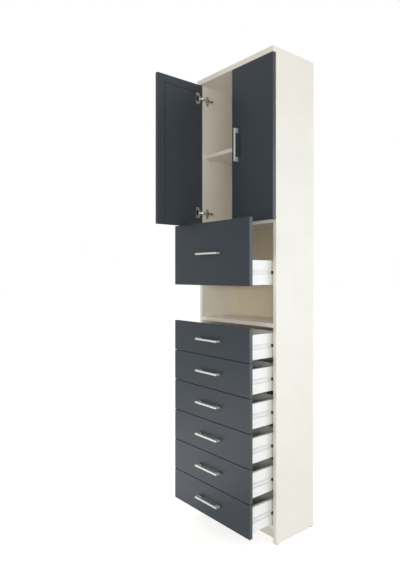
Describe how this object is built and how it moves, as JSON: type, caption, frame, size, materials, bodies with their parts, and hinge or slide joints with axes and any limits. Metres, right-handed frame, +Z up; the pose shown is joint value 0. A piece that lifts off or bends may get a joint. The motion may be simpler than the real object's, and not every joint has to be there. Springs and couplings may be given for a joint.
{
  "type": "cabinet with drawers",
  "caption": "Tall narrow cabinet with a double-door shelf compartment over a deep-fronted drawer, an open niche and a stack of equal drawers, all with flat bar handles.",
  "frame": {"origin": "on the floor, at the middle of the plinth board's bottom face", "axes": "+Z up, the front faces -Y, +X to the right seen from the front"},
  "size_m": [0.5104, 0.4871, 2],
  "materials": {
    "carcass_board": "cream laminate, satin",
    "back_board": "thin cream board, matte",
    "grey_front": "dark grey lacquer, satin",
    "white_box": "white laminate, matte",
    "white_steel": "white powder coat",
    "satin_handle": "satin anodised",
    "bright_steel": "nickel plated",
    "dark_plastic": "matte"
  },
  "bodies": {
    "carcass": {"side_panel_left": "carcass_board", "side_panel_right": "carcass_board", "top_board": "carcass_board", "base_panel": "carcass_board", "divider_panel": "carcass_board", "niche_shelf": "carcass_board", "adjustable_shelf": "carcass_board", "back_panel": "back_board", "plinth_board": "carcass_board", "shelf_pins": "bright_steel", "floor_glides": "dark_plastic", "wall_brackets": "bright_steel", "cam_fittings": "bright_steel", "cabinet_runners_left": "white_steel", "cabinet_runners_right": "white_steel", "hinge_plates": "bright_steel", "hinge_arms": "bright_steel"},
    "left_hinge_links": {"left_hinge_links": "bright_steel"},
    "left_door": {"left_door": "grey_front", "left_door_handle": "satin_handle", "left_hinge_cups": "bright_steel"},
    "right_hinge_links": {"right_hinge_links": "bright_steel"},
    "right_door": {"right_door": "grey_front", "right_door_handle": "satin_handle", "right_hinge_cups": "bright_steel"},
    "tall_drawer": {"tall_drawer_front": "grey_front", "tall_drawer_box": "white_box", "tall_drawer_bottom": "white_box", "tall_drawer_handle": "satin_handle", "tall_drawer_runners": "white_steel"},
    "drawer_1": {"drawer_1_front": "grey_front", "drawer_1_box": "white_box", "drawer_1_bottom": "white_box", "drawer_1_handle": "satin_handle", "drawer_1_runners": "white_steel"},
    "drawer_2": {"drawer_2_front": "grey_front", "drawer_2_box": "white_box", "drawer_2_bottom": "white_box", "drawer_2_handle": "satin_handle", "drawer_2_runners": "white_steel"},
    "drawer_3": {"drawer_3_front": "grey_front", "drawer_3_box": "white_box", "drawer_3_bottom": "white_box", "drawer_3_handle": "satin_handle", "drawer_3_runners": "white_steel"},
    "drawer_4": {"drawer_4_front": "grey_front", "drawer_4_box": "white_box", "drawer_4_bottom": "white_box", "drawer_4_handle": "satin_handle", "drawer_4_runners": "white_steel"},
    "drawer_5": {"drawer_5_front": "grey_front", "drawer_5_box": "white_box", "drawer_5_bottom": "white_box", "drawer_5_handle": "satin_handle", "drawer_5_runners": "white_steel"},
    "drawer_6": {"drawer_6_front": "grey_front", "drawer_6_box": "white_box", "drawer_6_bottom": "white_box", "drawer_6_handle": "satin_handle", "drawer_6_runners": "white_steel"}
  },
  "joints": [
    {"name": "tall_drawer_slide", "type": "slide", "parent": "carcass", "child": "tall_drawer", "axis": [0, -1, 0], "range_m": [-0.127, 0.018]},
    {"name": "drawer_1_slide", "type": "slide", "parent": "carcass", "child": "drawer_1", "axis": [0, -1, 0], "range_m": [-0.127, 0.018]},
    {"name": "drawer_2_slide", "type": "slide", "parent": "carcass", "child": "drawer_2", "axis": [0, -1, 0], "range_m": [-0.127, 0.018]},
    {"name": "drawer_3_slide", "type": "slide", "parent": "carcass", "child": "drawer_3", "axis": [0, -1, 0], "range_m": [-0.127, 0.018]},
    {"name": "drawer_4_slide", "type": "slide", "parent": "carcass", "child": "drawer_4", "axis": [0, -1, 0], "range_m": [-0.127, 0.018]},
    {"name": "drawer_5_slide", "type": "slide", "parent": "carcass", "child": "drawer_5", "axis": [0, -1, 0], "range_m": [-0.127, 0.018]},
    {"name": "drawer_6_slide", "type": "slide", "parent": "carcass", "child": "drawer_6", "axis": [0, -1, 0], "range_m": [-0.127, 0.018]},
    {"name": "left_link_swing", "type": "hinge", "parent": "carcass", "child": "left_hinge_links", "pos_m": [-0.215, -0.0509, 1.6425], "axis": [0, 0, -1], "range_deg": [-5, 45]},
    {"name": "left_door_swing", "type": "hinge", "parent": "left_hinge_links", "child": "left_door", "pos_m": [-0.22942, -0.06405, 1.6425], "axis": [0, 0, -1], "range_deg": [-135, 15]},
    {"name": "right_link_swing", "type": "hinge", "parent": "carcass", "child": "right_hinge_links", "pos_m": [0.215, -0.0509, 1.6425], "axis": [0, 0, 1], "range_deg": [-50, 0]},
    {"name": "right_door_swing", "type": "hinge", "parent": "right_hinge_links", "child": "right_door", "pos_m": [0.2345, -0.05, 1.6425], "axis": [0, 0, 1], "range_deg": [0, 150]}
  ],
  "couplings": [
    {"joint": "left_link_swing", "follows": "left_door_swing", "ratio": -0.33333},
    {"joint": "right_link_swing", "follows": "right_door_swing", "ratio": -0.33333}
  ]
}
